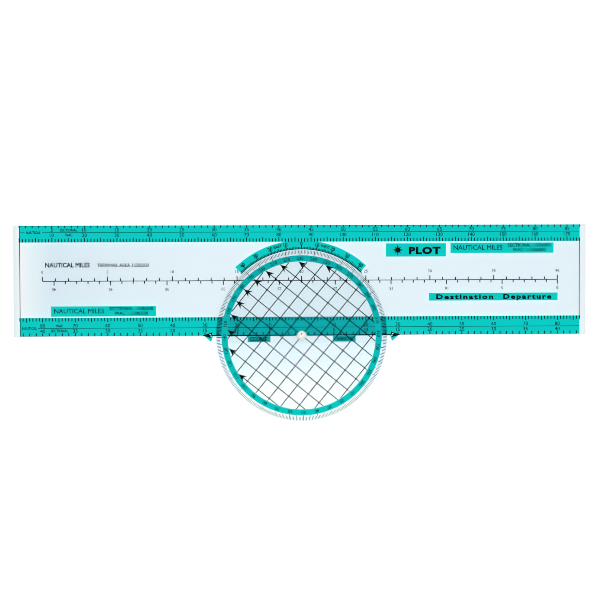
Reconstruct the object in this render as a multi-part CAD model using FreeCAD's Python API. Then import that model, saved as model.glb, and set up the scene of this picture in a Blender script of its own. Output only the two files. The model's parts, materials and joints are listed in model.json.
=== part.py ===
import FreeCAD, Part
import math
import os

# A rotating azimuth plotter for air charts, lying flat. A clear ruler plate carries printed
# distance scales, and a clear azimuth disc turns on an eyelet set in the plate's lower edge.
# Frame: origin on the pivot axis in the plane that the plate rests on, +X along the ruler,
# +Y from the pivot towards the top scale, +Z out of the printed face. Millimetres.

# Chart scales: one nautical mile on each chart
MILE_ON_SECTIONAL = 1852.0 / 500.0
MILE_ON_AREA_CHART = MILE_ON_SECTIONAL * 2.0

# Ruler plate
RULER_LENGTH = 329.0
RULER_WIDTH = 63.5
PLATE_THICKNESS = 1.5
EDGE_BREAK = 0.12
TAB_HALF_WIDTH = 56.4
TAB_DEPTH = 4.3
TAB_SLOPE_DEG = 44.0

# Azimuth disc
DISC_RADIUS = 49.2
DISC_THICKNESS = 1.0
DISC_GAP = 0.3

# Eyelet and washers
EYELET_BORE_RADIUS = 1.2
EYELET_WALL = 0.3
FLANGE_RADIUS = 2.6
FLANGE_HEIGHT = 0.42
FLANGE_RIM = 0.05
FLANGE_PLAY = 0.05
ROLL_RADIUS = 2.2
RUNNING_CLEARANCE = 0.05
SEAT_CLEARANCE = 0.02
RECESS_RADIUS = 3.1
RECESS_DEPTH = 0.6
WASHER_RADIUS = 2.9
WASHER_THICKNESS = 0.25
SPACER_RADIUS = 2.5
ROLL_INSET = 0.06

# Printed layers
INK = 0.03
TOP_BAND_DEPTH = 9.65
BOTTOM_BAND_DEPTH = 10.7
SCALE_MILES = 87
AREA_SCALE_MILES = 40
AREA_SCALE_Y = 31.65
AREA_LINE_WIDTH = 0.42
END_LINE_WIDTH = 0.4
COURSE_LINE_Y = 0.22
COURSE_LINE_WIDTH = 0.4
ARROWHEAD_TIP = 57.2
ARROWHEAD_LENGTH = 5.4
ARROWHEAD_HALF_HEIGHT = 1.6
ARROWHEAD_NOTCH = 0.9
REGISTER_DOT_RADIUS = 0.34
REGISTER_DOT_X = 52.6
REGISTER_DOT_Y = 0.8
VARIATION_INNER_RADIUS = 49.45
VARIATION_OUTER_RADIUS = 54.7
VARIATION_LEFT_DEG = 44.1
VARIATION_RIGHT_DEG = 42.9
RING_INNER_RADIUS = 42.6
RING_OUTER_RADIUS = 46.1
PIVOT_INK_GAP_RADIUS = 2.7

# Levels, worked out from the stack
barrel_radius = EYELET_BORE_RADIUS + EYELET_WALL
disc_bottom = PLATE_THICKNESS + DISC_GAP
disc_top = disc_bottom + DISC_THICKNESS
flange_bottom = disc_top + FLANGE_PLAY
print_half_length = SCALE_MILES * MILE_ON_SECTIONAL / 2.0
band_start = END_LINE_WIDTH - print_half_length
area_scale_half_length = AREA_SCALE_MILES * MILE_ON_AREA_CHART / 2.0
axis_z = FreeCAD.Vector(0, 0, 1)


def prism(points, bottom, height):
    """An upright solid on a straight-sided outline."""
    corners = [FreeCAD.Vector(x, y, bottom) for x, y in points]
    wire = Part.makePolygon(corners + corners[:1])
    return Part.Face(wire).extrude(FreeCAD.Vector(0, 0, height))


def slab(x0, x1, y0, y1, bottom, height):
    """A box between two corners."""
    return Part.makeBox(x1 - x0, y1 - y0, height, FreeCAD.Vector(x0, y0, bottom))


def cylinder(radius, bottom, height):
    """A solid disc on the pivot axis."""
    return Part.makeCylinder(radius, height, FreeCAD.Vector(0, 0, bottom), axis_z)


def ring(inner, outer, bottom, height):
    """A flat ring on the pivot axis."""
    return cylinder(outer, bottom, height).cut(cylinder(inner, bottom, height))


def mirrored(shape):
    """The same shape on the other side of the pivot."""
    return shape.mirror(FreeCAD.Vector(0, 0, 0), FreeCAD.Vector(1, 0, 0))


def pair(shape):
    """A shape and its mirror image as one group of separate solids."""
    return Part.makeCompound([shape, mirrored(shape)])


def broken_edges(sheet):
    """A sheet with the sharp corners taken off its top and bottom outlines."""
    rims = [edge for edge in sheet.Edges if edge.BoundBox.ZLength < 1e-6]
    return sheet.makeChamfer(EDGE_BREAK, rims)


def ruler_plate():
    """The clear plate with its tab, the eyelet's hole and the recess under it."""
    half = RULER_LENGTH / 2.0
    tab_foot = TAB_HALF_WIDTH - TAB_DEPTH / math.tan(math.radians(TAB_SLOPE_DEG))
    outline = [
        (-half, 0), (-TAB_HALF_WIDTH, 0), (-tab_foot, -TAB_DEPTH),
        (tab_foot, -TAB_DEPTH), (TAB_HALF_WIDTH, 0), (half, 0),
        (half, RULER_WIDTH), (-half, RULER_WIDTH),
    ]
    plate = broken_edges(prism(outline, 0, PLATE_THICKNESS))
    plate = plate.cut(cylinder(barrel_radius + SEAT_CLEARANCE, 0, PLATE_THICKNESS))
    return plate.cut(cylinder(RECESS_RADIUS, 0, RECESS_DEPTH))


def azimuth_disc():
    """The clear disc, running on the eyelet's barrel."""
    disc = broken_edges(cylinder(DISC_RADIUS, disc_bottom, DISC_THICKNESS))
    return disc.cut(cylinder(barrel_radius + RUNNING_CLEARANCE, disc_bottom, DISC_THICKNESS))


def arc_through(start, middle, end):
    """An arc in the XZ half plane, given as radius and height pairs."""
    points = [FreeCAD.Vector(radius, 0, z) for radius, z in (start, middle, end)]
    return Part.Arc(*points).toShape()


def line_between(start, end):
    """A straight edge in the XZ half plane, given as radius and height pairs."""
    points = [FreeCAD.Vector(radius, 0, z) for radius, z in (start, end)]
    return Part.LineSegment(*points).toShape()


def pivot_eyelet():
    """The eyelet: bore, rounded flange over the disc, and rolled end in the plate's recess."""
    bore = EYELET_BORE_RADIUS
    flange_top = flange_bottom + FLANGE_HEIGHT
    flange_edge = flange_bottom + FLANGE_RIM
    crown_radius = (bore + FLANGE_RADIUS) / 2.0
    roll_top = RECESS_DEPTH - WASHER_THICKNESS
    roll_middle = (bore + ROLL_RADIUS) / 2.0
    bore_top = (crown_radius, flange_top)
    quarter = math.sqrt(0.5)
    inner_rise = flange_top - flange_edge
    flare_in = (crown_radius - (crown_radius - bore) * quarter, flange_edge + inner_rise * quarter)
    flare_out = (crown_radius + (FLANGE_RADIUS - crown_radius) * quarter,
                 flange_edge + inner_rise * quarter)
    edges = [
        line_between((bore, roll_top), (bore, flange_edge)),
        arc_through((bore, flange_edge), flare_in, bore_top),
        arc_through(bore_top, flare_out, (FLANGE_RADIUS, flange_edge)),
        line_between((FLANGE_RADIUS, flange_edge), (FLANGE_RADIUS, flange_bottom)),
        line_between((FLANGE_RADIUS, flange_bottom), (barrel_radius, flange_bottom)),
        line_between((barrel_radius, flange_bottom), (barrel_radius, roll_top)),
        line_between((barrel_radius, roll_top), (ROLL_RADIUS, roll_top)),
        arc_through((ROLL_RADIUS, roll_top), (roll_middle, ROLL_INSET), (bore, roll_top)),
    ]
    face = Part.Face(Part.Wire(edges))
    return face.revolve(FreeCAD.Vector(0, 0, 0), axis_z, 360)


def spacer_washer():
    """The plain washer that keeps the disc off the printed plate."""
    return ring(barrel_radius + SEAT_CLEARANCE, SPACER_RADIUS, PLATE_THICKNESS, DISC_GAP)


def back_washer():
    """The metal washer that the eyelet's end is rolled against."""
    bottom = RECESS_DEPTH - WASHER_THICKNESS
    return ring(barrel_radius + SEAT_CLEARANCE, WASHER_RADIUS, bottom, WASHER_THICKNESS)


def plate_panel(x0, x1, y0, y1):
    """A printed rectangle on the plate's top face."""
    return slab(x0, x1, y0, y1, PLATE_THICKNESS, INK)


def top_scale_band():
    """The coloured band under the top scale, out to the broken edge."""
    top = RULER_WIDTH - EDGE_BREAK
    bottom = RULER_WIDTH - TOP_BAND_DEPTH
    return plate_panel(band_start, print_half_length, bottom, top)


def register_dots():
    """The clear dots left in the print near the course line's arrowheads."""
    place = FreeCAD.Vector(REGISTER_DOT_X, REGISTER_DOT_Y, PLATE_THICKNESS)
    return pair(Part.makeCylinder(REGISTER_DOT_RADIUS, INK, place, axis_z))


def bottom_scale_band():
    """The coloured band under the bottom scale, with gaps for the eyelet and the course line."""
    band = plate_panel(band_start, print_half_length, EDGE_BREAK, BOTTOM_BAND_DEPTH)
    pivot_gap = cylinder(PIVOT_INK_GAP_RADIUS, PLATE_THICKNESS, INK)
    return band.cut(pivot_gap).cut(course_line()).cut(register_dots())


def variation_arc_band():
    """The coloured arc round the disc that carries the variation scale."""
    arc = ring(VARIATION_INNER_RADIUS, VARIATION_OUTER_RADIUS, PLATE_THICKNESS, INK)
    reach = 2.0 * VARIATION_OUTER_RADIUS
    left = reach * math.tan(math.radians(VARIATION_LEFT_DEG))
    right = reach * math.tan(math.radians(VARIATION_RIGHT_DEG))
    sector = prism([(0, 0), (right, reach), (-left, reach)], PLATE_THICKNESS, INK)
    above_band = RULER_WIDTH - TOP_BAND_DEPTH
    keep = slab(-reach, reach, 0, above_band, PLATE_THICKNESS, INK)
    return arc.common(sector).common(keep)


def arrowhead():
    """The barbed arrowhead at the right end of the course line."""
    back = ARROWHEAD_TIP - ARROWHEAD_LENGTH
    top = COURSE_LINE_Y + ARROWHEAD_HALF_HEIGHT
    bottom = COURSE_LINE_Y - ARROWHEAD_HALF_HEIGHT
    notch = (back + ARROWHEAD_NOTCH, COURSE_LINE_Y)
    points = [(ARROWHEAD_TIP, COURSE_LINE_Y), (back, top), notch, (back, bottom)]
    return prism(points, PLATE_THICKNESS, INK)


def course_line():
    """The course line along the plate's lower edge, with an arrowhead at each end."""
    bottom = COURSE_LINE_Y - COURSE_LINE_WIDTH / 2.0
    shaft_end = ARROWHEAD_TIP - ARROWHEAD_LENGTH / 2.0
    shaft_start = PIVOT_INK_GAP_RADIUS + 0.1
    shaft = plate_panel(shaft_start, shaft_end, bottom, bottom + COURSE_LINE_WIDTH)
    return pair(shaft.fuse(arrowhead()).removeSplitter()).cut(register_dots())


def course_nibs():
    """The coloured corners of the tab beside the course line's arrowheads."""
    nib = prism([(55.8, -0.25), (51.0, -0.3), (52.1, -3.5)], PLATE_THICKNESS, INK)
    return pair(nib).cut(course_line())


def end_lines():
    """The lines that close the print: full height on the left, between the bands on the right."""
    bottom_band_top = BOTTOM_BAND_DEPTH
    top_band_bottom = RULER_WIDTH - TOP_BAND_DEPTH
    plate_top = RULER_WIDTH - EDGE_BREAK
    left = plate_panel(-print_half_length, band_start, EDGE_BREAK, plate_top)
    right = plate_panel(-band_start, print_half_length, bottom_band_top, top_band_bottom)
    return Part.makeCompound([left, right])


def area_scale_line():
    """The base line of the scale along the middle of the plate."""
    half = AREA_LINE_WIDTH / 2.0
    end = area_scale_half_length
    return plate_panel(-end, end, AREA_SCALE_Y - half, AREA_SCALE_Y + half)


def azimuth_ring_band():
    """The coloured ring on the disc that carries the azimuth numbers."""
    return ring(RING_INNER_RADIUS, RING_OUTER_RADIUS, disc_top, INK)


label_panels = {
    "lower_label_panel": plate_panel(-143.4, -83.5, 11.45, 17.3),
    "upper_label_panel": plate_panel(86.0, 145.9, 47.05, 53.0),
    "title_panel": plate_panel(48.7, 83.4, 45.1, 52.75),
    "route_label_panel": plate_panel(73.5, 148.3, 19.65, 24.05),
    "course_label_panels": pair(plate_panel(18.0, 31.1, -3.7, -0.3)),
}

nodes = {
    "ruler_plate": ruler_plate(),
    "azimuth_disc": azimuth_disc(),
    "pivot_eyelet": pivot_eyelet(),
    "spacer_washer": spacer_washer(),
    "back_washer": back_washer(),
    "top_scale_band": top_scale_band(),
    "bottom_scale_band": bottom_scale_band(),
    "variation_arc_band": variation_arc_band(),
    "course_nibs": course_nibs(),
    "course_line": course_line(),
    "end_lines": end_lines(),
    "area_scale_line": area_scale_line(),
    "azimuth_ring_band": azimuth_ring_band(),
}
nodes.update(label_panels)

for name, shape in nodes.items():
    shape.exportStep(f"parts/{name}.step")
    box = shape.BoundBox
    print(f"{name}: {len(shape.Solids)} solids, {shape.Volume:.3f} mm3, valid {shape.isValid()},",
          f"x {box.XMin:.2f}..{box.XMax:.2f} y {box.YMin:.2f}..{box.YMax:.2f}",
          f"z {box.ZMin:.2f}..{box.ZMax:.2f}")
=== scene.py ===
import json
import math

import bmesh
import bpy
from mathutils import Matrix, Vector


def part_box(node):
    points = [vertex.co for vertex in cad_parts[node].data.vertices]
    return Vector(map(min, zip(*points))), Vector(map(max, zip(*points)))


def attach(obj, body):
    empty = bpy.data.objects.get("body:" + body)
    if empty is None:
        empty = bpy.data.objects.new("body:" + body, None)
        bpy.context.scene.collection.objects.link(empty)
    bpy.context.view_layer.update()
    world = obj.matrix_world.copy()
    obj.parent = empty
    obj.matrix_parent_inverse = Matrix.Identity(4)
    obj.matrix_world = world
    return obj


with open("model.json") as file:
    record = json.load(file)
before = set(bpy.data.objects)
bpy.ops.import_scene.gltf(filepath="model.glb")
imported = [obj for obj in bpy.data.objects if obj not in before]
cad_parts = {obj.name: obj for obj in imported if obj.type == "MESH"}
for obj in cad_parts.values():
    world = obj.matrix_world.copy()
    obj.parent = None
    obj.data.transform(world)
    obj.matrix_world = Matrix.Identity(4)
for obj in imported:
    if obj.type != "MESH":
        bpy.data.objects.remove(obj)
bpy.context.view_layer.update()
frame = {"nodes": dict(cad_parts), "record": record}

# Looks of a rotating azimuth plotter: its clear sheets, screen-printed scales and eyelet.
# Sizes are in millimetres until a mesh is made, and MM turns them into metres.
MM = 0.001

# One nautical mile on the 1:500,000, 1:1,000,000 and 1:250,000 charts
SECTIONAL_MILE = 3.704
WORLD_MILE = SECTIONAL_MILE / 2.0
AREA_MILE = SECTIONAL_MILE * 2.0

# One statute mile on the 1:250,000 chart
STATUTE_MILE_METRES = 1609.344
AREA_STATUTE_MILE = STATUTE_MILE_METRES / 250.0

# Every scale is numbered at its fifth miles; on the bands these are tenth miles of the smaller scale
LABEL_EVERY = 5
LABEL_STEP = SECTIONAL_MILE * LABEL_EVERY

# Black print
PRINT_THICKNESS = 0.02
FINE_LINE = 0.26
TICK_WIDTH = 0.56
DIGIT_HEIGHT = 2.0
DIGIT_RISE = 1.5
UNIT_WORD_HEIGHT = 1.45
CHART_WORD_HEIGHT = 1.5
CHART_WORD_RISE = 1.4
WAC_WIDTH = 4.2

# How much lettering is thickened, in font units
LIGHT_WEIGHT = 0.01
SMALL_WEIGHT = 0.022
WORD_WEIGHT = 0.028
ROUTE_WEIGHT = 0.05
TITLE_WEIGHT = 0.06

# Sides that ticks stand on: above or outside their line, and below or inside it
OUTWARDS = 1
INWARDS = -1

# Keeps a last tick that lies on the end line within rounding
ROUNDING_SLACK = 0.01

# Middle lines of the two bands, along Y
TOP_MIDDLE = 59.45
BOTTOM_MIDDLE = 4.7

# Middle scale's numbers
AREA_DIGIT_HEIGHT = 1.6
AREA_DIGIT_RISE = 5.2
STATUTE_DIGIT_DROP = 4.8

# Variation arc
VARIATION_TICK_FOOT = 49.5
VARIATION_WORD_RADIUS = 52.8
VARIATION_TICKS_EACH_SIDE = 43
ARC_EDGE_LINE = 0.4
ARC_EDGE_BAR = 0.88
ARC_EDGE_BARS_EACH_SIDE = 44
VARIATION_DIGIT_HEIGHT = 1.9
VARIATION_WORD_HEIGHT = 1.5
VARIATION_WORD_AT = 15.0

# Course line
EYELET_CLEAR = 3.3
COURSE_ARROWHEAD = 5.5
COURSE_UNDERLINE_LOW = -0.25
COURSE_UNDERLINE_HIGH = 0.02

# Compass star on the title panel
STAR_POINTS = 8
STAR_LONG_ARM = 3.5
STAR_SHORT_ARM = 2.6
STAR_WAIST = 1.3

# Azimuth disc print
RING_INNER = 42.6
RING_DIGIT_HEIGHT = 1.8
RIM_TICK_MARGIN = 0.25
RIM_TICK_GAP = 0.9
RIM_TICK_WIDTH = 0.24
RIM_TENTH_BROADER = 0.12
GRID_PITCH = 8.0
GRID_LINE = 0.5
GRID_TURN = 51.1
GRID_LINES_EACH_SIDE = 5
GRID_EYELET_CLEAR = 2.0
GRID_RING_CLEAR = 0.1
GRID_ARROW_LENGTH = 4.6
GRID_ARROW_HALF_WIDTH = 2.0
GRID_ARROW_NOTCH = 0.68
GRID_ARROW_RING_CLEAR = 0.2
AZIMUTH_AT_GRID_ARROWS = 180
AZIMUTH_AT_TOP = AZIMUTH_AT_GRID_ARROWS + GRID_TURN


def node_size(name):
    """Lowest and highest corner of a CAD node in millimetres."""
    low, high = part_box(name)
    return low / MM, high / MM


plate_low, plate_high = node_size("ruler_plate")
top_band_low, top_band_high = node_size("top_scale_band")
bottom_band_low, bottom_band_high = node_size("bottom_scale_band")
area_line_low, area_line_high = node_size("area_scale_line")
ring_low, ring_high = node_size("azimuth_ring_band")
disc_low, disc_high = node_size("azimuth_disc")
course_low, course_high = node_size("course_line")

print_end = node_size("end_lines")[1].x
band_print_z = top_band_high.z
plate_print_z = top_band_low.z
disc_print_z = ring_low.z
ring_print_z = ring_high.z
disc_radius = disc_high.x
ring_outer = ring_high.x
area_line_y = (area_line_low.y + area_line_high.y) / 2.0
area_end = area_line_high.x


# ---------------------------------------------------------------- materials


def new_material(name):
    """An empty node material and its output node."""
    material = bpy.data.materials.new(name)
    material.use_nodes = True
    material.node_tree.nodes.clear()
    output = material.node_tree.nodes.new("ShaderNodeOutputMaterial")
    return material, material.node_tree, output


def compare(tree, operation, number, limit):
    """1 where a number is LESS_THAN or GREATER_THAN a limit, otherwise 0."""
    test = tree.nodes.new("ShaderNodeMath")
    test.operation = operation
    test.inputs[1].default_value = limit
    tree.links.new(number, test.inputs[0])
    return test.outputs[0]


def combine(tree, operation, first, second):
    """Two numbers joined by a Math node."""
    made = tree.nodes.new("ShaderNodeMath")
    made.operation = operation
    tree.links.new(first, made.inputs[0])
    tree.links.new(second, made.inputs[1])
    return made.outputs[0]


def cast_along(tree, distance, casts):
    """The sheet's colour cast and its painted light where they change along an axis: pairs of
    millimetres and colour.
    """
    start = casts[0][0] * MM
    end = casts[-1][0] * MM
    along = tree.nodes.new("ShaderNodeMapRange")
    along.inputs["From Min"].default_value = start
    along.inputs["From Max"].default_value = end
    tree.links.new(distance, along.inputs["Value"])
    ramp = tree.nodes.new("ShaderNodeValToRGB")
    stops = ramp.color_ramp.elements
    while len(stops) < len(casts):
        stops.new(1.0)
    for stop, (place, colour) in zip(stops, casts):
        stop.position = (place * MM - start) / (end - start)
        stop.color = (*colour, 1.0)
    tree.links.new(along.outputs[0], ramp.inputs["Fac"])
    return ramp.outputs["Color"]


def plate_tint_and_painted_light(tree, place):
    """The ruler's cast, with a painted highlight by its end lines and painted shade a little way in
    from the left end, and nearly clear on the tab below the edge.
    """
    on_tab = compare(tree, "LESS_THAN", place.outputs["Y"], 0.0)
    cast = tree.nodes.new("ShaderNodeMix")
    cast.data_type = "RGBA"
    cast.inputs["B"].default_value = (*TAB_CAST, 1.0)
    tree.links.new(on_tab, cast.inputs["Factor"])
    tree.links.new(cast_along(tree, place.outputs["X"], PLATE_TINT_AND_PAINTED_LIGHT), cast.inputs["A"])
    return cast.outputs["Result"]


def disc_tint_and_painted_shade(tree, place):
    """The disc's cast, with painted shade a little below its middle."""
    return cast_along(tree, place.outputs["Y"], DISC_TINT_AND_PAINTED_SHADE)


def clear_sheet(name, face_cast_and_painted_light, edge_tint, roughness, gloss_ior):
    """Clear plastic sheet: tinted see-through faces, deeper coloured edges and a polished gloss."""
    material, tree, output = new_material(name)
    nodes, links = tree.nodes, tree.links
    coordinates = nodes.new("ShaderNodeTexCoord")
    place = nodes.new("ShaderNodeSeparateXYZ")
    links.new(coordinates.outputs["Object"], place.inputs[0])
    geometry = nodes.new("ShaderNodeNewGeometry")
    facing = nodes.new("ShaderNodeSeparateXYZ")
    links.new(geometry.outputs["True Normal"], facing.inputs[0])
    upright = nodes.new("ShaderNodeMath")
    upright.operation = "ABSOLUTE"
    links.new(facing.outputs["Z"], upright.inputs[0])
    tint = nodes.new("ShaderNodeMix")
    tint.data_type = "RGBA"
    tint.inputs["A"].default_value = (*edge_tint, 1.0)
    links.new(face_cast_and_painted_light(tree, place), tint.inputs["B"])
    links.new(upright.outputs[0], tint.inputs["Factor"])
    see_through = nodes.new("ShaderNodeBsdfTransparent")
    links.new(tint.outputs["Result"], see_through.inputs["Color"])
    gloss = nodes.new("ShaderNodeBsdfGlossy")
    gloss.inputs["Color"].default_value = (1.0, 1.0, 1.0, 1.0)
    gloss.inputs["Roughness"].default_value = roughness
    fresnel = nodes.new("ShaderNodeFresnel")
    fresnel.inputs["IOR"].default_value = gloss_ior
    outside = nodes.new("ShaderNodeMath")
    outside.operation = "SUBTRACT"
    outside.inputs[0].default_value = 1.0
    links.new(geometry.outputs["Backfacing"], outside.inputs[1])
    shine = combine(tree, "MULTIPLY", fresnel.outputs[0], outside.outputs[0])
    mix = nodes.new("ShaderNodeMixShader")
    links.new(shine, mix.inputs["Fac"])
    links.new(see_through.outputs[0], mix.inputs[1])
    links.new(gloss.outputs[0], mix.inputs[2])
    links.new(mix.outputs[0], output.inputs["Surface"])
    return material


def painted_shade_factors(tree, place):
    """Two factors of painted shade on ink: inside the disc's outline, and under its crowded rim
    ticks.

    Inside the outline the painted shade is full on the ruler's ink, and grows upwards on the disc's
    own ring.
    """
    nodes, links = tree.nodes, tree.links
    parts = nodes.new("ShaderNodeSeparateXYZ")
    links.new(place, parts.inputs[0])
    flat = nodes.new("ShaderNodeCombineXYZ")
    links.new(parts.outputs["X"], flat.inputs["X"])
    links.new(parts.outputs["Y"], flat.inputs["Y"])
    length = nodes.new("ShaderNodeVectorMath")
    length.operation = "LENGTH"
    links.new(flat.outputs[0], length.inputs[0])
    radius = length.outputs["Value"]
    upwards = nodes.new("ShaderNodeMapRange")
    upwards.inputs["From Min"].default_value = PAINTED_SHADE_FROM * MM
    upwards.inputs["From Max"].default_value = PAINTED_SHADE_TO * MM
    links.new(parts.outputs["Y"], upwards.inputs["Value"])
    within = compare(tree, "LESS_THAN", radius, disc_radius * MM)
    on_plate = compare(tree, "LESS_THAN", parts.outputs["Z"], disc_low.z * MM)
    depth = combine(tree, "MAXIMUM", upwards.outputs[0], on_plate)
    beyond_ring = compare(tree, "GREATER_THAN", radius, ring_outer * MM)
    under_disc = combine(tree, "MULTIPLY", within, on_plate)
    under_rim = combine(tree, "MULTIPLY", under_disc, beyond_ring)
    return combine(tree, "MULTIPLY", within, depth), under_rim


def printed_ink(name, colour, painted_shade_colour, painted_rim_shade_colour, variation, roughness):
    """Screen-printed ink with faint cloudiness.

    It has three colours: its own, a painted shade inside the disc's outline, and a deeper painted
    shade under the rim ticks.
    """
    material, tree, output = new_material(name)
    nodes, links = tree.nodes, tree.links
    place = nodes.new("ShaderNodeTexCoord")
    cloud = nodes.new("ShaderNodeTexNoise")
    cloud.inputs["Scale"].default_value = INK_CLOUD_SCALE
    cloud.inputs["Detail"].default_value = INK_CLOUD_DETAIL
    links.new(place.outputs["Object"], cloud.inputs["Vector"])
    clouded = nodes.new("ShaderNodeMix")
    clouded.data_type = "RGBA"
    darker = [channel * (1.0 - variation) for channel in colour]
    lighter = [min(1.0, channel * (1.0 + variation)) for channel in colour]
    clouded.inputs["A"].default_value = (*darker, 1.0)
    clouded.inputs["B"].default_value = (*lighter, 1.0)
    links.new(cloud.outputs["Fac"], clouded.inputs["Factor"])
    shade = clouded
    # Painted shade: the ink is darker inside the disc's outline and darker still under its rim ticks
    factors = painted_shade_factors(tree, place.outputs["Object"])
    for factor, deeper in zip(factors, (painted_shade_colour, painted_rim_shade_colour)):
        above = shade
        shade = nodes.new("ShaderNodeMix")
        shade.data_type = "RGBA"
        shade.inputs["B"].default_value = (*deeper, 1.0)
        links.new(above.outputs["Result"], shade.inputs["A"])
        links.new(factor, shade.inputs["Factor"])
    grain = nodes.new("ShaderNodeTexNoise")
    grain.inputs["Scale"].default_value = INK_GRAIN_SCALE
    links.new(place.outputs["Object"], grain.inputs["Vector"])
    bump = nodes.new("ShaderNodeBump")
    bump.inputs["Strength"].default_value = INK_GRAIN_STRENGTH
    bump.inputs["Distance"].default_value = INK_GRAIN_DEPTH
    links.new(grain.outputs["Fac"], bump.inputs["Height"])
    ink = nodes.new("ShaderNodeBsdfPrincipled")
    ink.inputs["Roughness"].default_value = roughness
    ink.inputs["Specular IOR Level"].default_value = INK_SHEEN
    links.new(shade.outputs["Result"], ink.inputs["Base Color"])
    links.new(bump.outputs[0], ink.inputs["Normal"])
    links.new(ink.outputs[0], output.inputs["Surface"])
    return material


def solid_finish(name, colour, metallic, roughness, grain_scale):
    """Enamel, nylon or stamped metal with a light surface grain."""
    material, tree, output = new_material(name)
    nodes, links = tree.nodes, tree.links
    place = nodes.new("ShaderNodeTexCoord")
    grain = nodes.new("ShaderNodeTexNoise")
    grain.inputs["Scale"].default_value = grain_scale
    links.new(place.outputs["Object"], grain.inputs["Vector"])
    worn = nodes.new("ShaderNodeMapRange")
    worn.inputs["To Min"].default_value = roughness * (1.0 - GRAIN_CONTRAST)
    worn.inputs["To Max"].default_value = roughness * (1.0 + GRAIN_CONTRAST)
    links.new(grain.outputs["Fac"], worn.inputs["Value"])
    body = nodes.new("ShaderNodeBsdfPrincipled")
    body.inputs["Base Color"].default_value = (*colour, 1.0)
    body.inputs["Metallic"].default_value = metallic
    links.new(worn.outputs[0], body.inputs["Roughness"])
    links.new(body.outputs[0], output.inputs["Surface"])
    return material


# Casts of the clear sheets with painted highlight and shade, with places in millimetres along X on
# the plate and Y on the disc
PLATE_CAST = (0.925, 0.957, 0.973)
# Plate tint with a painted highlight by the end lines and painted shade a little way in from the
# left end
PLATE_TINT_AND_PAINTED_LIGHT = (
    (plate_low.x, (0.915, 0.954, 0.958)),
    (-print_end, (0.96, 0.97, 0.973)),
    (-153.5, (0.924, 0.958, 0.969)),
    (-143.0, (0.9, 0.939, 0.96)),
    (-104.0, (0.916, 0.952, 0.968)),
    (-60.0, PLATE_CAST),
    (print_end, PLATE_CAST),
    (plate_high.x, (0.948, 0.961, 0.964)),
)
TAB_CAST = (0.985, 0.993, 0.995)
DISC_CAST = (0.985, 0.999, 1.0)
# Disc tint with painted shade just below the disc's middle
DISC_TINT_AND_PAINTED_SHADE = (
    (-disc_radius, DISC_CAST),
    (-32.0, DISC_CAST),
    (-14.0, (0.935, 0.975, 0.996)),
    (-2.0, (0.936, 0.976, 0.996)),
    (14.0, DISC_CAST),
    (disc_radius, DISC_CAST),
)

clear_plate = clear_sheet(
    "clear_plate", face_cast_and_painted_light=plate_tint_and_painted_light, edge_tint=(0.86, 0.93, 0.95), roughness=0.03,
    gloss_ior=1.4,
)
clear_disc = clear_sheet(
    "clear_disc", face_cast_and_painted_light=disc_tint_and_painted_shade, edge_tint=(0.75, 0.88, 0.92), roughness=0.03,
    gloss_ior=1.3,
)

# Painted shade on the ring's ink grows upwards between these two places along Y
PAINTED_SHADE_FROM = -45.0
PAINTED_SHADE_TO = 22.0

# Ink, and its painted shade inside the disc's outline and under the disc's rim ticks
TEAL = (0.001, 0.535, 0.495)
TEAL_PAINTED_SHADE = (0.001, 0.368, 0.365)
TEAL_PAINTED_RIM_SHADE = (0.001, 0.27, 0.28)
BLACK = (0.001, 0.006, 0.008)
BLACK_PAINTED_SHADE = (0.001, 0.005, 0.006)
INK_CLOUD_SCALE = 60.0
INK_CLOUD_DETAIL = 3.0
INK_GRAIN_SCALE = 2500.0
INK_GRAIN_STRENGTH = 0.05
INK_GRAIN_DEPTH = 0.00002
INK_SHEEN = 0.02

teal_ink = printed_ink(
    "teal_ink", colour=TEAL, painted_shade_colour=TEAL_PAINTED_SHADE, painted_rim_shade_colour=TEAL_PAINTED_RIM_SHADE, variation=0.05,
    roughness=0.35,
)
black_ink = printed_ink(
    "black_ink", colour=BLACK, painted_shade_colour=BLACK_PAINTED_SHADE, painted_rim_shade_colour=BLACK_PAINTED_SHADE, variation=0.2,
    roughness=0.45,
)

# How far the roughness of a solid finish wanders with its grain, as a share of itself
GRAIN_CONTRAST = 0.2

eyelet_enamel = solid_finish(
    "eyelet_enamel", colour=(0.80, 0.78, 0.68), metallic=0.0, roughness=0.3, grain_scale=900.0,
)
spacer_plastic = solid_finish(
    "spacer_plastic", colour=(0.75, 0.75, 0.7), metallic=0.0, roughness=0.5, grain_scale=900.0,
)
washer_metal = solid_finish(
    "washer_metal", colour=(0.7, 0.7, 0.72), metallic=1.0, roughness=0.35, grain_scale=1500.0,
)

slot_materials = {
    "clear_plate": clear_plate,
    "clear_disc": clear_disc,
    "teal_ink": teal_ink,
    "black_ink": black_ink,
    "eyelet_enamel": eyelet_enamel,
    "spacer_plastic": spacer_plastic,
    "washer_metal": washer_metal,
}
SHADOWLESS_SLOTS = ("teal_ink", "black_ink", "eyelet_enamel")


def finish_cad_nodes():
    """Every CAD node takes the finish of its own slot, and ink and eyelet cast no shadow."""
    for subpart in frame["record"]["subparts"]:
        node = frame["nodes"][subpart["node"]]
        material = slot_materials[subpart["material_slot"]]
        for slot in node.material_slots:
            slot.material = material
        if subpart["material_slot"] in SHADOWLESS_SLOTS:
            node.visible_shadow = False


# ---------------------------------------------------------------- print sheets


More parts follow.
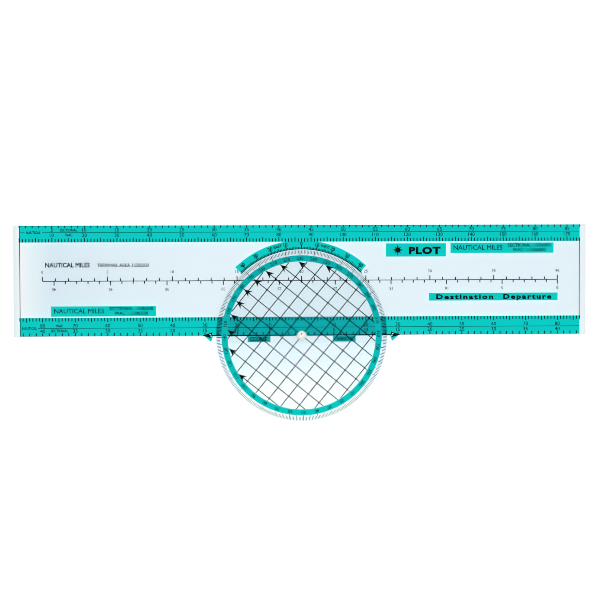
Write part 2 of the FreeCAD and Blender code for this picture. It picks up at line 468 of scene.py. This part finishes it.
class PrintSheet:
    """Flat print gathered into one mesh: closed films standing on a printed level."""

    def __init__(self, name, body, level, material_slot="black_ink"):
        self.name = name
        self.body = body
        self.level = level
        self.slot = material_slot
        self.verts = []
        self.faces = []

    def add(self, points, faces, place=Matrix.Identity(4)):
        """Adds a closed film, given in millimetres, moved by place."""
        first = len(self.verts)
        self.verts += [place @ Vector(point) for point in points]
        self.faces += [[first + index for index in face] for face in faces]

    def shape(self, outline, place=Matrix.Identity(4)):
        """Adds a film with a counter-clockwise outline."""
        count = len(outline)
        bottom = [(x, y, 0.0) for x, y in outline]
        top = [(x, y, PRINT_THICKNESS) for x, y in outline]
        faces = [list(range(count))[::-1], [count + index for index in range(count)]]
        for index in range(count):
            after = (index + 1) % count
            faces.append([index, after, count + after, count + index])
        self.add(bottom + top, faces, place)

    def bar(self, x0, x1, y0, y1, place=Matrix.Identity(4)):
        """Adds a rectangle."""
        self.shape([(x0, y0), (x1, y0), (x1, y1), (x0, y1)], place)

    def text(self, words, x, y, height, turn=0.0, width=None, weight=0.0, spacing=1.0):
        """Adds lettering centred on x, y with capitals of the given height."""
        points, faces = lettering(words, weight, spacing)
        low = min(point.x for point in points)
        high = max(point.x for point in points)
        tall = height / cap_height
        wide = tall if width is None else width / (high - low)
        centre = Matrix.Translation((-(low + high) / 2.0, -cap_height / 2.0, 0.0))
        size = Matrix.Diagonal((wide, tall, PRINT_THICKNESS, 1.0))
        place = Matrix.Translation((x, y, 0.0)) @ Matrix.Rotation(turn, 4, "Z")
        self.add(points, faces, place @ size @ centre)

    def join(self, mesh):
        """Adds a mesh that is already in metres, such as ticks made by Geometry Nodes."""
        points = [vertex.co / MM for vertex in mesh.vertices]
        self.add(points, [list(polygon.vertices) for polygon in mesh.polygons])

    def make(self):
        """Makes the object, which casts no shadow, and sets it riding on its body."""
        mesh = bpy.data.meshes.new(self.name)
        lift = Vector((0.0, 0.0, self.level))
        mesh.from_pydata([(point + lift) * MM for point in self.verts], [], self.faces)
        mesh.materials.append(slot_materials[self.slot])
        mesh.update()
        piece = bpy.data.objects.new(self.name, mesh)
        piece.visible_shadow = False
        bpy.context.scene.collection.objects.link(piece)
        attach(piece, self.body)
        return piece


# Lettering in font units: half its depth, the steps of its curves, and what counts as one point
HALF_THICKNESS = 0.5
CURVE_STEPS = 2
MERGE_DISTANCE = 0.0005
lettering_cache = {}


def lettering(words, weight, spacing):
    """Points and faces of closed lettering one unit thick, in font units.

    Its strokes are thickened by weight, through a bevel with one flat facet.
    """
    key = (words, weight, spacing)
    if key in lettering_cache:
        return lettering_cache[key]
    curve = bpy.data.curves.new("lettering", "FONT")
    curve.body = words
    curve.resolution_u = CURVE_STEPS
    curve.space_character = spacing
    curve.extrude = HALF_THICKNESS - weight
    curve.bevel_depth = weight
    curve.bevel_resolution = 0
    holder = bpy.data.objects.new("lettering", curve)
    bpy.context.scene.collection.objects.link(holder)
    bpy.context.view_layer.update()
    evaluated = holder.evaluated_get(bpy.context.evaluated_depsgraph_get())
    mesh = bpy.data.meshes.new_from_object(evaluated)
    shape = bmesh.new()
    shape.from_mesh(mesh)
    bmesh.ops.remove_doubles(shape, verts=shape.verts, dist=MERGE_DISTANCE)
    shape.to_mesh(mesh)
    shape.free()
    points = [vertex.co + Vector((0.0, 0.0, HALF_THICKNESS)) for vertex in mesh.vertices]
    faces = [list(polygon.vertices) for polygon in mesh.polygons]
    bpy.data.objects.remove(holder)
    bpy.data.meshes.remove(mesh)
    lettering_cache[key] = (points, faces)
    return lettering_cache[key]


cap_height = max(point.y for point in lettering("H", 0.0, 1.0)[0])


# ---------------------------------------------------------------- Geometry Nodes ticks


# Starting values of the ticks' inputs, in metres and radians
TICK_NUMBERS = {
    "Count": 10, "First": 0, "Length": 0.001, "Fifth extra": 0.0, "Tenth extra": 0.0,
    "Width": 0.0003, "Tenth broader": 0.0, "Thickness": 0.00002,
}

# A whole number below this is nought
HALF_A_STEP = 0.5


class TickTree:
    """A Geometry Nodes tree in the making, with small helpers for its maths."""

    def __init__(self, name, numbers):
        self.tree = bpy.data.node_groups.new(name, "GeometryNodeTree")
        interface = self.tree.interface
        interface.new_socket("Geometry", in_out="OUTPUT", socket_type="NodeSocketGeometry")
        self.sockets = {}
        for label, value in numbers.items():
            kind = "NodeSocketInt" if isinstance(value, int) else "NodeSocketFloat"
            socket = interface.new_socket(label, in_out="INPUT", socket_type=kind)
            socket.default_value = value
            self.sockets[label] = socket.identifier
        material = interface.new_socket("Ink", in_out="INPUT", socket_type="NodeSocketMaterial")
        self.sockets["Ink"] = material.identifier
        self.inputs = self.tree.nodes.new("NodeGroupInput")
        self.output = self.tree.nodes.new("NodeGroupOutput")

    def wire(self, value, socket):
        """Feeds a socket from another node's output, or sets it to a number."""
        if isinstance(value, bpy.types.NodeSocket):
            self.tree.links.new(value, socket)
        elif value is not None:
            socket.default_value = value

    def node(self, kind, **settings):
        """A new node with its settings."""
        made = self.tree.nodes.new(kind)
        for label, value in settings.items():
            setattr(made, label, value)
        return made

    def given(self, label):
        """One of the tree's own inputs."""
        return self.inputs.outputs[label]

    def maths(self, operation, first, second=None):
        """A Math node's result."""
        made = self.node("ShaderNodeMath", operation=operation)
        self.wire(first, made.inputs[0])
        self.wire(second, made.inputs[1])
        return made.outputs[0]

    def vector(self, x=0.0, y=0.0, z=0.0):
        """Three numbers as one vector."""
        made = self.node("ShaderNodeCombineXYZ")
        for value, socket in zip((x, y, z), made.inputs):
            self.wire(value, socket)
        return made.outputs[0]

    def every(self, number, step):
        """1 where the number is a whole multiple of step, otherwise 0."""
        rest = self.maths("MODULO", self.maths("ABSOLUTE", number), step)
        return self.maths("LESS_THAN", rest, HALF_A_STEP)

    def tick_solid(self):
        """A unit bar that stands on its foot: half a unit each side, one unit up and thick."""
        cube = self.node("GeometryNodeMeshCube")
        cube.inputs["Size"].default_value = (1.0, 1.0, 1.0)
        moved = self.node("GeometryNodeTransform")
        self.wire(cube.outputs["Mesh"], moved.inputs["Geometry"])
        moved.inputs["Translation"].default_value = (0.0, 0.5, 0.5)
        return moved.outputs["Geometry"]

    def stand(self, points, solid, turn, size):
        """Instances of the solid on the points, turned and sized by fields."""
        made = self.node("GeometryNodeInstanceOnPoints")
        self.wire(points, made.inputs["Points"])
        self.wire(solid, made.inputs["Instance"])
        self.wire(turn, made.inputs["Rotation"])
        self.wire(size, made.inputs["Scale"])
        return made.outputs["Instances"]

    def close(self, instances):
        """Ends the tree in real mesh with its ink."""
        real = self.node("GeometryNodeRealizeInstances")
        self.wire(instances, real.inputs[0])
        inked = self.node("GeometryNodeSetMaterial")
        self.wire(real.outputs[0], inked.inputs["Geometry"])
        self.wire(self.given("Ink"), inked.inputs["Material"])
        self.wire(inked.outputs[0], self.output.inputs[0])

    def tick_length(self, number):
        """Short, middle and long ticks: longer on each fifth and longest on each tenth."""
        fifth = self.maths("MULTIPLY", self.every(number, 5.0), self.given("Fifth extra"))
        tenth = self.maths("MULTIPLY", self.every(number, 10.0), self.given("Tenth extra"))
        return self.maths("ADD", self.given("Length"), self.maths("ADD", fifth, tenth))

    def tick_width(self, number):
        """Each tenth tick may be broader."""
        tenth = self.maths("MULTIPLY", self.every(number, 10.0), self.given("Tenth broader"))
        return self.maths("ADD", self.given("Width"), tenth)


def row_tree():
    """Ticks in a straight row along X, standing on a line; a negative side hangs them below it."""
    numbers = {**TICK_NUMBERS, "Start": 0.0, "Spacing": 0.001, "Line": 0.0, "Side": 1.0}
    made = TickTree("row_of_ticks", numbers)
    line = made.node("GeometryNodeMeshLine")
    made.wire(made.given("Count"), line.inputs["Count"])
    made.wire(made.vector(made.given("Spacing")), line.inputs["Offset"])
    start = made.vector(made.given("Start"), made.given("Line"))
    made.wire(start, line.inputs["Start Location"])
    index = made.node("GeometryNodeInputIndex").outputs[0]
    number = made.maths("ADD", index, made.given("First"))
    size = made.vector(made.tick_width(number), made.tick_length(number), made.given("Thickness"))
    upside = made.maths("LESS_THAN", made.given("Side"), 0.0)
    turn = made.vector(0.0, 0.0, made.maths("MULTIPLY", upside, math.pi))
    made.close(made.stand(line.outputs["Mesh"], made.tick_solid(), turn, size))
    return made


def ring_tree():
    """Ticks round the pivot, from a circle inwards or outwards; angles run clockwise from +Y."""
    numbers = {**TICK_NUMBERS, "Start": 0.0, "Step": 0.0174, "Radius": 0.05, "Side": 1.0}
    made = TickTree("ring_of_ticks", numbers)
    line = made.node("GeometryNodeMeshLine")
    made.wire(made.given("Count"), line.inputs["Count"])
    index = made.node("GeometryNodeInputIndex").outputs[0]
    number = made.maths("ADD", index, made.given("First"))
    travel = made.maths("MULTIPLY", index, made.given("Step"))
    angle = made.maths("ADD", made.given("Start"), travel)
    east = made.maths("MULTIPLY", made.maths("SINE", angle), made.given("Radius"))
    north = made.maths("MULTIPLY", made.maths("COSINE", angle), made.given("Radius"))
    placed = made.node("GeometryNodeSetPosition")
    made.wire(line.outputs["Mesh"], placed.inputs["Geometry"])
    made.wire(made.vector(east, north), placed.inputs["Position"])
    inward = made.maths("LESS_THAN", made.given("Side"), 0.0)
    heading = made.maths("SUBTRACT", made.maths("MULTIPLY", inward, math.pi), angle)
    size = made.vector(made.tick_width(number), made.tick_length(number), made.given("Thickness"))
    turn = made.vector(0.0, 0.0, heading)
    made.close(made.stand(placed.outputs["Geometry"], made.tick_solid(), turn, size))
    return made


def grid_tree():
    """Square grid clipped by a circle: half lines in four quarter turns, clear of the eyelet."""
    numbers = {
        "Each side": 5, "Pitch": 0.008, "Radius": 0.0426, "Eyelet": 0.002, "Turn": 0.0,
        "Width": 0.0003, "Thickness": 0.00002,
    }
    made = TickTree("clipped_grid", numbers)
    count = made.maths("ADD", made.maths("MULTIPLY", made.given("Each side"), 2.0), 1.0)
    line = made.node("GeometryNodeMeshLine")
    made.wire(count, line.inputs["Count"])
    index = made.node("GeometryNodeInputIndex").outputs[0]
    step = made.maths("SUBTRACT", index, made.given("Each side"))
    across = made.maths("MULTIPLY", step, made.given("Pitch"))
    middle = made.maths("LESS_THAN", made.maths("ABSOLUTE", step), HALF_A_STEP)
    start = made.maths("MULTIPLY", middle, made.given("Eyelet"))
    placed = made.node("GeometryNodeSetPosition")
    made.wire(line.outputs["Mesh"], placed.inputs["Geometry"])
    made.wire(made.vector(across, start), placed.inputs["Position"])
    square = made.maths("SUBTRACT", made.maths("POWER", made.given("Radius"), 2.0),
                        made.maths("POWER", across, 2.0))
    reach = made.maths("SUBTRACT", made.maths("SQRT", square), start)
    size = made.vector(made.given("Width"), reach, made.given("Thickness"))
    bars = made.stand(placed.outputs["Geometry"], made.tick_solid(), None, size)
    quarters = made.node("GeometryNodeMeshLine")
    quarters.inputs["Count"].default_value = 4
    quarters.inputs["Offset"].default_value = (0.0, 0.0, 0.0)
    quarter = made.maths("MULTIPLY", made.node("GeometryNodeInputIndex").outputs[0], math.pi / 2.0)
    heading = made.vector(0.0, 0.0, made.maths("ADD", quarter, made.given("Turn")))
    made.close(made.stand(quarters.outputs["Mesh"], bars, heading, None))
    return made


def nodes_mesh(made, **numbers):
    """The plain mesh that a tree makes with these inputs; lengths are in metres."""
    holder = bpy.data.objects.new("holder", bpy.data.meshes.new("holder"))
    bpy.context.scene.collection.objects.link(holder)
    modifier = holder.modifiers.new("ticks", "NODES")
    modifier.node_group = made.tree
    for label, value in numbers.items():
        modifier[made.sockets[label.replace("_", " ")]] = value
    modifier[made.sockets["Ink"]] = black_ink
    bpy.context.view_layer.update()
    evaluated = holder.evaluated_get(bpy.context.evaluated_depsgraph_get())
    mesh = bpy.data.meshes.new_from_object(evaluated)
    holder.modifiers.remove(modifier)
    bpy.data.objects.remove(holder)
    return mesh


ticks_in_row = row_tree()
ticks_in_ring = ring_tree()
clipped_grid = grid_tree()


def add_row(sheet, start, spacing, line, side, count, first, length, fifth=0.0):
    """Adds a straight row of ticks to a print sheet, sizes in millimetres."""
    mesh = nodes_mesh(
        ticks_in_row, Count=count, First=first, Start=start * MM, Spacing=spacing * MM,
        Line=line * MM, Side=float(side), Length=length * MM, Fifth_extra=fifth * MM,
        Width=TICK_WIDTH * MM, Thickness=PRINT_THICKNESS * MM,
    )
    sheet.join(mesh)


def add_ring(sheet, start_deg, count, first, radius, side, length, width, fifth=0.0, tenth=0.0,
             broader=0.0):
    """Adds one-degree ticks round the pivot, sizes in millimetres."""
    mesh = nodes_mesh(
        ticks_in_ring, Count=count, First=first, Start=math.radians(start_deg),
        Step=math.radians(1.0), Radius=radius * MM, Side=float(side), Length=length * MM,
        Fifth_extra=fifth * MM, Tenth_extra=tenth * MM, Width=width * MM,
        Tenth_broader=broader * MM, Thickness=PRINT_THICKNESS * MM,
    )
    sheet.join(mesh)


def round_place(angle_deg, radius):
    """Place and turn of something that reads outwards at a clockwise angle from +Y."""
    angle = math.radians(angle_deg)
    return radius * math.sin(angle), radius * math.cos(angle), -angle


# ---------------------------------------------------------------- scales on the ruler


def band_numbers(sheet, x, middle, above, below):
    """One number above a band's middle line and one below it."""
    for number, side in ((above, 1), (below, -1)):
        sheet.text(str(number), x, middle + side * DIGIT_RISE, DIGIT_HEIGHT, weight=LIGHT_WEIGHT)


def chart_words(sheet, x, middle, above, below):
    """Chart names above and below a band's middle line, each a word and its width."""
    for (word, width), side in ((above, 1), (below, -1)):
        sheet.text(word, x, middle + side * CHART_WORD_RISE, CHART_WORD_HEIGHT, width=width,
                   weight=WORD_WEIGHT)


def middle_line(sheet, start, end, middle):
    """The fine line along the middle of a band."""
    sheet.bar(start, end, middle - FINE_LINE / 2.0, middle + FINE_LINE / 2.0)


def top_scale():
    """The top scale: 1:500,000 ticks on the edge, 1:1,000,000 ticks on the band's lower edge."""
    sheet = PrintSheet("top_scale_print", "ruler", band_print_z)
    miles = round(2.0 * print_end / SECTIONAL_MILE)
    add_row(sheet, start=-print_end, spacing=SECTIONAL_MILE, line=top_band_high.y, side=INWARDS,
            count=miles + 1, first=0, length=1.4)
    add_row(sheet, start=-print_end, spacing=WORLD_MILE, line=top_band_low.y, side=OUTWARDS,
            count=2 * miles + 1, first=0, length=1.95, fifth=0.6)
    unit_start = -157.2
    unit_end = -149.0
    gap = 0.9
    charts_x = -133.0
    middle_line(sheet, -print_end, unit_start - gap, TOP_MIDDLE)
    middle_line(sheet, unit_end + gap, print_end, TOP_MIDDLE)
    sheet.text("NAUTICAL", (unit_start + unit_end) / 2.0, TOP_MIDDLE, UNIT_WORD_HEIGHT,
               width=unit_end - unit_start, weight=WORD_WEIGHT)
    chart_words(sheet, charts_x, TOP_MIDDLE, above=("SECTIONAL", 9.9), below=("WAC", WAC_WIDTH))
    edge_line_low = top_band_high.y - 0.4
    edge_line_high = edge_line_low + 0.12
    sheet.bar(-print_end, print_end, edge_line_low, edge_line_high)
    for step in range(1, math.floor(2.0 * print_end / LABEL_STEP) + 1):
        number = step * LABEL_EVERY
        x = -print_end + step * LABEL_STEP
        band_numbers(sheet, x, TOP_MIDDLE, above=number, below=2 * number)
    return sheet.make()


def bottom_scale():
    """The bottom scale, which counts outwards from the pivot."""
    sheet = PrintSheet("bottom_scale_print", "ruler", band_print_z)
    low = bottom_band_low.y
    world_miles = math.floor(print_end / WORLD_MILE + ROUNDING_SLACK)
    add_row(sheet, start=-world_miles * WORLD_MILE, spacing=WORLD_MILE, line=bottom_band_high.y,
            side=INWARDS, count=2 * world_miles + 1, first=-world_miles, length=1.95, fifth=0.55)
    miles = math.floor(print_end / SECTIONAL_MILE)
    add_row(sheet, start=-miles * SECTIONAL_MILE, spacing=SECTIONAL_MILE, line=low,
            side=OUTWARDS, count=2 * miles + 1, first=-miles, length=1.85)
    edge_line_low = low + 0.03
    edge_line_high = low + 0.18
    for start, end in ((-print_end, course_low.x), (course_high.x, print_end)):
        sheet.bar(start, end, edge_line_low, edge_line_high)
    unit_x = -155.6
    line_start = -150.8
    charts_x = -138.6
    middle_line(sheet, line_start, print_end, BOTTOM_MIDDLE)
    sheet.text("NAUTICAL", unit_x, BOTTOM_MIDDLE, UNIT_WORD_HEIGHT, width=8.4,
               weight=WORD_WEIGHT)
    chart_words(sheet, charts_x, BOTTOM_MIDDLE, above=("WAC", WAC_WIDTH),
                below=("SECTIONAL", 10.0))
    for side in (-1, 1):
        for step in range(1, math.floor(print_end / LABEL_STEP) + 1):
            number = step * LABEL_EVERY
            x = side * step * LABEL_STEP
            band_numbers(sheet, x, BOTTOM_MIDDLE, above=2 * number, below=number)
    return sheet.make()


def area_scale():
    """The middle scale: nautical miles upwards from the left, statute miles down from the right."""
    sheet = PrintSheet("area_scale_print", "ruler", plate_print_z)
    mile_ticks = round(2.0 * area_end / AREA_MILE) + 1
    add_row(sheet, start=-area_end, spacing=AREA_MILE, line=area_line_high.y, side=OUTWARDS,
            count=mile_ticks, first=0, length=1.5, fifth=0.9)
    statute_ticks = math.floor(2.0 * area_end / AREA_STATUTE_MILE)
    add_row(sheet, start=area_end, spacing=-AREA_STATUTE_MILE, line=area_line_low.y,
            side=INWARDS, count=statute_ticks, first=0, length=1.4, fifth=0.85)
    for number in range(0, mile_ticks, LABEL_EVERY):
        sheet.text(str(number), -area_end + number * AREA_MILE, area_line_y + AREA_DIGIT_RISE,
                   AREA_DIGIT_HEIGHT, weight=LIGHT_WEIGHT)
    for number in range(0, statute_ticks, LABEL_EVERY):
        sheet.text(str(number), area_end - number * AREA_STATUTE_MILE,
                   area_line_y - STATUTE_DIGIT_DROP, AREA_DIGIT_HEIGHT, turn=math.pi,
                   weight=LIGHT_WEIGHT)
    return sheet.make()


def variation_scale():
    """One-degree ticks, the line along the arc's inner edge, and the variation numbers."""
    sheet = PrintSheet("variation_scale_print", "ruler", band_print_z)
    ticks = VARIATION_TICKS_EACH_SIDE
    add_ring(sheet, start_deg=-ticks, count=2 * ticks + 1, first=-ticks,
             radius=VARIATION_TICK_FOOT, side=OUTWARDS, length=1.35, width=0.5, fifth=0.45,
             tenth=0.8, broader=0.1)
    bars = ARC_EDGE_BARS_EACH_SIDE
    add_ring(sheet, start_deg=-bars, count=2 * bars + 1, first=-bars,
             radius=VARIATION_TICK_FOOT, side=OUTWARDS, length=ARC_EDGE_LINE,
             width=ARC_EDGE_BAR)
    radius = VARIATION_WORD_RADIUS
    for side in (-1, 1):
        for number in (10, 20, 30, 40):
            x, y, turn = round_place(side * number, radius)
            sheet.text(str(number), x, y, VARIATION_DIGIT_HEIGHT, turn, weight=WORD_WEIGHT)
    sheet.text("0", 0.0, radius, VARIATION_DIGIT_HEIGHT, weight=WORD_WEIGHT)
    for angle, word in ((-VARIATION_WORD_AT, "EAST"), (VARIATION_WORD_AT, "WEST")):
        x, y, turn = round_place(angle, radius)
        sheet.text(word, x, y, VARIATION_WORD_HEIGHT, turn, weight=WORD_WEIGHT)
    return sheet.make()


# ---------------------------------------------------------------- labels on the ruler


def unit_label(sheet, node):
    """Unit words in a coloured panel: the unit on the left, the two chart scales on the right."""
    low, high = node_size(node)
    y = (low.y + high.y) / 2.0
    unit_x = low.x + 16.0
    charts_x = high.x - 14.2
    chart_height = 1.75
    sheet.text("NAUTICAL MILES", unit_x, y=y + 0.2, height=2.6, width=28.4,
               weight=LIGHT_WEIGHT)
    sheet.text("SECTIONAL 1:500,000", charts_x, y=y + 1.5, height=chart_height, width=25.0,
               weight=SMALL_WEIGHT)
    sheet.text("WAC 1:1,000,000", charts_x, y=y - 1.1, height=chart_height, width=19.2,
               weight=SMALL_WEIGHT)


def panel_words():
    """Lettering on the coloured panels."""
    sheet = PrintSheet("panel_lettering", "ruler", band_print_z)
    unit_label(sheet, "lower_label_panel")
    unit_label(sheet, "upper_label_panel")
    low, high = node_size("route_label_panel")
    y = (low.y + high.y) / 2.0
    for x, width, word in ((20.8, 33.1, "Destination"), (57.2, 28.2, "Departure")):
        sheet.text(word, low.x + x, y, height=2.55, width=width, weight=ROUTE_WEIGHT,
                   spacing=1.3)
    low, high = node_size("course_label_panels")
    y = (low.y + high.y) / 2.0
    word_x = 24.9
    for x, word in ((-word_x, "COURSE"), (word_x, "ARROW")):
        sheet.text(word, x, y, height=2.1, width=10.0, weight=WORD_WEIGHT)
    return sheet.make()


def title_print():
    """A plain compass star and the instrument's kind on the title panel."""
    sheet = PrintSheet("title_print", "ruler", band_print_z)
    low, high = node_size("title_panel")
    y = (low.y + high.y) / 2.0
    star_x = low.x + 6.8
    outline = []
    for corner in range(2 * STAR_POINTS):
        angle = math.pi * corner / STAR_POINTS
        arm = STAR_LONG_ARM if corner % 4 == 0 else STAR_SHORT_ARM
        radius = arm if corner % 2 == 0 else STAR_WAIST
        outline.append((star_x + radius * math.sin(-angle), y + radius * math.cos(angle)))
    sheet.shape(outline)
    sheet.text("PLOT", x=low.x + 22.4, y=y - 0.35, height=3.7, width=18.4,
               weight=TITLE_WEIGHT, spacing=1.15)
    return sheet.make()


def plate_words():
    """Lettering straight on the clear plate, and the lower part of the course line."""
    sheet = PrintSheet("plate_lettering", "ruler", plate_print_z)
    shaft = course_high.x - COURSE_ARROWHEAD
    for start, end in ((-shaft, -EYELET_CLEAR), (EYELET_CLEAR, shaft)):
        sheet.bar(start, end, COURSE_UNDERLINE_LOW, COURSE_UNDERLINE_HIGH)
    sheet.text("NAUTICAL MILES", x=-133.8, y=40.9, height=2.5, width=25.4, weight=0.03)
    sheet.text("TERMINAL AREA 1:250,000", x=-102.2, y=40.7, height=1.9, width=29.4,
               weight=0.025)
    return sheet.make()


# ---------------------------------------------------------------- print on the disc


def azimuth_scale():
    """Ticks round the rim, where each fifth reaches in to the ring."""
    sheet = PrintSheet("azimuth_ticks", "azimuth_disc", disc_print_z)
    outer = disc_radius - RIM_TICK_MARGIN
    longest = outer - ring_outer
    add_ring(sheet, start_deg=-AZIMUTH_AT_TOP, count=360, first=0, radius=outer, side=INWARDS,
             length=longest - RIM_TICK_GAP, width=RIM_TICK_WIDTH, fifth=RIM_TICK_GAP,
             broader=RIM_TENTH_BROADER)
    return sheet.make()


def azimuth_numbers():
    """A number every ten degrees on the coloured ring."""
    sheet = PrintSheet("azimuth_numbers", "azimuth_disc", ring_print_z)
    radius = (RING_INNER + ring_outer) / 2.0
    for azimuth in range(10, 361, 10):
        x, y, turn = round_place(azimuth - AZIMUTH_AT_TOP, radius)
        sheet.text(str(azimuth), x, y, RING_DIGIT_HEIGHT, turn, weight=LIGHT_WEIGHT)
    return sheet.make()


def grid_print():
    """The square grid, and an arrowhead on each line that points to the course."""
    sheet = PrintSheet("grid_print", "azimuth_disc", disc_print_z)
    turn = math.radians(GRID_TURN)
    mesh = nodes_mesh(
        clipped_grid, Each_side=GRID_LINES_EACH_SIDE, Pitch=GRID_PITCH * MM,
        Radius=(RING_INNER - GRID_RING_CLEAR) * MM, Eyelet=GRID_EYELET_CLEAR * MM, Turn=turn,
        Width=GRID_LINE * MM, Thickness=PRINT_THICKNESS * MM,
    )
    sheet.join(mesh)
    heads = PrintSheet("grid_arrowheads", "azimuth_disc", disc_print_z + PRINT_THICKNESS)
    half = GRID_ARROW_HALF_WIDTH
    length = GRID_ARROW_LENGTH
    notch = length * GRID_ARROW_NOTCH
    outline = [(0.0, 0.0), (-half, -length), (0.0, -notch), (half, -length)]
    for step in range(-GRID_LINES_EACH_SIDE, GRID_LINES_EACH_SIDE + 1):
        across = step * GRID_PITCH
        tip = math.sqrt(RING_INNER ** 2 - across ** 2) - GRID_ARROW_RING_CLEAR
        place = Matrix.Rotation(turn, 4, "Z") @ Matrix.Translation((across, tip, 0.0))
        heads.shape(outline, place)
    return sheet.make(), heads.make()


# ---------------------------------------------------------------- studio


# The studio's sizes are in metres
FLOOR_REACH = 4.0
FLOOR_DROP = 0.0001
LIGHT_FROM_SURROUND = 0.1
SEEN_SURROUND = 1.0
SOFTBOX_HEIGHT = 1.5
SOFTBOX_OUT = 0.5
SOFTBOX_AIM = (0.0, 0.01, 0.0)
SOFTBOX_WIDTH = 1.8
SOFTBOX_DEPTH = 0.5
SOFTBOX_WATTS = 16.1
CAMERA_DISTANCE = 1.0
CAMERA_LEAN = math.radians(2.53)
CAMERA_PITCH = math.radians(1.9)
CAMERA_ROLL = math.radians(-0.18)

# The point that the camera looks at, its sensor and its lens, in millimetres
CAMERA_TARGET = (-0.86, 20.30, 0.0)
SENSOR_WIDTH = 36.0
LENS = 104.19

# Under 1, the renderer's filter keeps fine print crisper than its own setting
FILTER_WIDTH = 0.9


def floor():
    """A plain pale floor under the ruler."""
    mesh = bpy.data.meshes.new("studio_floor")
    reach = FLOOR_REACH
    level = plate_low.z * MM - FLOOR_DROP
    corners = [(-reach, -reach, level), (reach, -reach, level), (reach, reach, level),
               (-reach, reach, level)]
    mesh.from_pydata(corners, [], [(0, 1, 2, 3)])
    material, tree, output = new_material("studio_floor")
    paper = tree.nodes.new("ShaderNodeBsdfPrincipled")
    paper.inputs["Base Color"].default_value = (0.95, 0.95, 0.95, 1.0)
    paper.inputs["Roughness"].default_value = 0.9
    paper.inputs["Specular IOR Level"].default_value = 0.1
    tree.links.new(paper.outputs[0], output.inputs["Surface"])
    mesh.materials.append(material)
    made = bpy.data.objects.new("studio_floor", mesh)
    bpy.context.scene.collection.objects.link(made)


def softbox(name, place, aim, width, height, watts):
    """A large rectangular studio light."""
    data = bpy.data.lights.new(name, "AREA")
    data.shape = "RECTANGLE"
    data.size = width
    data.size_y = height
    data.energy = watts
    made = bpy.data.objects.new(name, data)
    made.location = place
    made.rotation_euler = (Vector(aim) - Vector(place)).to_track_quat("-Z", "Y").to_euler()
    bpy.context.scene.collection.objects.link(made)


def studio():
    """Two long softboxes high above the front and the back, and a white surround.

    The surround looks brighter than the light that it gives.
    """
    world = bpy.data.worlds.new("studio")
    bpy.context.scene.world = world
    world.use_nodes = True
    nodes, links = world.node_tree.nodes, world.node_tree.links
    surround = nodes["Background"]
    surround.inputs["Color"].default_value = (1.0, 1.0, 1.0, 1.0)
    seen = nodes.new("ShaderNodeLightPath")
    backdrop = nodes.new("ShaderNodeMapRange")
    backdrop.inputs["To Min"].default_value = LIGHT_FROM_SURROUND
    backdrop.inputs["To Max"].default_value = SEEN_SURROUND
    links.new(seen.outputs["Is Camera Ray"], backdrop.inputs["Value"])
    links.new(backdrop.outputs[0], surround.inputs["Strength"])
    for name, side in (("front", -1.0), ("back", 1.0)):
        softbox(name + "_softbox", place=(0.0, side * SOFTBOX_OUT, SOFTBOX_HEIGHT),
                aim=SOFTBOX_AIM, width=SOFTBOX_WIDTH, height=SOFTBOX_DEPTH,
                watts=SOFTBOX_WATTS)


def camera():
    """A long lens above the printed face, leaning a little to the left end and to the top edge."""
    target = Vector(CAMERA_TARGET) * MM
    data = bpy.data.cameras.new("camera")
    data.sensor_width = SENSOR_WIDTH
    data.lens = LENS
    made = bpy.data.objects.new("camera", data)
    backwards = Vector((-math.sin(CAMERA_LEAN), math.sin(CAMERA_PITCH), 0.0))
    backwards.z = math.sqrt(1.0 - backwards.length_squared)
    right = Vector((0.0, 1.0, 0.0)).cross(backwards).normalized()
    up = backwards.cross(right)
    axes = Matrix((right, up, backwards)).transposed().to_4x4()
    axes = axes @ Matrix.Rotation(CAMERA_ROLL, 4, "Z")
    made.matrix_world = Matrix.Translation(target + backwards * CAMERA_DISTANCE) @ axes
    bpy.context.scene.collection.objects.link(made)
    bpy.context.scene.camera = made


def view_settings():
    """Plain display colours, so that the white floor stays white, and crisp fine print."""
    bpy.context.scene.view_settings.view_transform = "Standard"
    bpy.context.scene.view_settings.look = "None"
    bpy.context.scene.cycles.filter_width = FILTER_WIDTH


finish_cad_nodes()
top_scale()
bottom_scale()
area_scale()
variation_scale()
panel_words()
title_print()
plate_words()
azimuth_scale()
azimuth_numbers()
grid_print()
floor()
studio()
camera()
view_settings()
